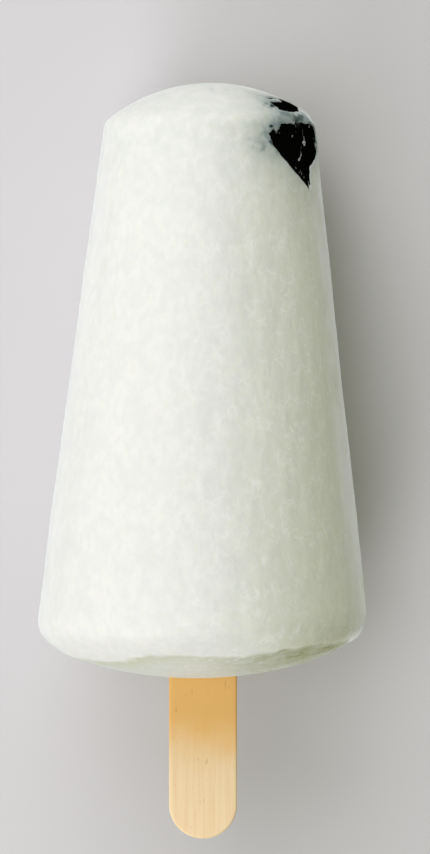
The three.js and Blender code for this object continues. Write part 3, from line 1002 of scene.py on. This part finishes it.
def birch():
    finish, tree = new_finish("birch_veneer_tumbled")
    place = place_in_pop(tree)
    measures = patterns(tree, place, {"dashes": (0.3, 0.16, 1), "wander": (4, 1, 2)})
    measures |= patterns(tree, place, {"grain": (GRAIN_WIDTH, 0.035, 4)}, Roughness=0.6)
    wander = {"Value": measures["wander"], "To Min": -WET_WANDER, "To Max": WET_WANDER}
    wander = node(tree, "MapRange", wander).outputs[0]
    height = node(tree, "SeparateXYZ", {"Vector": place}).outputs["Y"]
    level = node(tree, "Math", {0: height, 1: wander}, operation="ADD").outputs[0]
    wet = {"Value": level, "From Min": DRY_START, "From Max": WET_END}
    measures["wet"] = node(tree, "MapRange", wet, interpolation_type="SMOOTHSTEP").outputs[0]
    rough = {"Value": measures["wet"], "To Min": 0.72, "To Max": 0.5}
    relief = {"Height": measures["grain"], "Strength": 0.4, "Distance": BIRCH_DEPTH * MM}
    wood = {
        "Base Color": layered(tree, measures, BIRCH, BIRCH_LAYERS),
        "Roughness": node(tree, "MapRange", rough).outputs[0],
        "Normal": node(tree, "Bump", relief).outputs[0],
        "IOR": 1.5,
    }
    end_finish(tree, node(tree, "BsdfPrincipled", wood))
    return finish


stick = make_piece("birch_stick", *stick_mesh(), birch())
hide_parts("stick")

# %% [markdown]
# ## The studio
#
# A pale table and a pale room give soft light from all round. Four large soft lamps stand to the pop's left:
# one over its side, two beyond its tip and one beyond its base. So the left side is bright, the right side
# falls into a soft shade, and the dome and the swollen base are as bright as the side between them. One lamp
# straight above the side would be simpler, but it would leave both ends darker.

# %% Table: painted board, matt and nearly even
FLOOR = "#D3D1D2"
FLOOR_MOTTLE = "#CFCDCE"
TABLE_REACH = 3  # metres to each side


def make_floor():
    finish, tree = new_finish("painted_board_matt")
    place = node(tree, "TexCoord").outputs["Object"]
    mottle = node(tree, "TexNoise", {"Vector": place, "Scale": 14, "Detail": 3}).outputs[0]
    colour = layered(tree, {"mottle": mottle}, FLOOR, [(FLOOR_MOTTLE, [("mottle", 0, 1, 0, 1)])])
    end_finish(tree, node(tree, "BsdfPrincipled", {"Base Color": colour, "Roughness": 0.8, "IOR": 1.45}))
    mesh = bpy.data.meshes.new("table")
    corners = [(x * TABLE_REACH, y * TABLE_REACH, 0) for x, y in ((-1, -1), (1, -1), (1, 1), (-1, 1))]
    mesh.from_pydata(corners, [], [(0, 1, 2, 3)])
    mesh.materials.append(finish)
    table = bpy.data.objects.new("table", mesh)
    bpy.context.scene.collection.objects.link(table)
    table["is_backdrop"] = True


make_floor()

# %% Lamps and room
LAMPS = {  # degrees from the viewer's side towards the right and towards the tip, and watts
    "side_lamp": (-20, 0, 1.46),
    "tip_lamp": (-20, 45, 1.76),
    "far_tip_lamp": (-45, 65, 1.3),
    "base_lamp": (-45, -50, 2.65),
}
LAMP_SIZE, LAMP_DISTANCE = 0.5, 0.7  # metres
LAMP_COLOUR = "#F8F6FF"
ROOM_COLOUR = "#FAFFE2"
ROOM_STRENGTH = 0.305
POP_MIDDLE = Vector((0, 5, 22)) * MM

for name, (rightward, tipward, power) in LAMPS.items():
    data = bpy.data.lights.new(name, "AREA")
    data.shape = "DISK"
    data.size = LAMP_SIZE
    data.energy = power
    data.color = linear(LAMP_COLOUR)[:3]
    light = bpy.data.objects.new(name, data)
    bpy.context.scene.collection.objects.link(light)
    sideways = Matrix.Rotation(math.radians(rightward), 3, "Y")
    towards = sideways @ Matrix.Rotation(math.radians(-tipward), 3, "X") @ Vector((0, 0, 1))
    light.location = POP_MIDDLE + towards * LAMP_DISTANCE
    light.rotation_euler = towards.to_track_quat("Z", "Y").to_euler()
    print(name, "stands towards", [round(v, 2) for v in towards])

room = bpy.data.worlds.new("room")
room.use_nodes = True
room.node_tree.nodes["Background"].inputs["Color"].default_value = linear(ROOM_COLOUR)
room.node_tree.nodes["Background"].inputs["Strength"].default_value = ROOM_STRENGTH
bpy.context.scene.world = room
bpy.context.scene.view_settings.view_transform = "Standard"

# %% [markdown]
# ## Finish up
#
# The model keeps the CAD model's size: the differences between its box and the CAD model's box are printed.

# %% Sizes
visual_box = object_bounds()
for axis in range(3):
    low, high = ((visual_box[i][axis] - cad_box[i][axis]) / MM for i in (0, 1))
    print(f"axis {axis}: visual box differs by {low:+.3f} and {high:+.3f} mm")
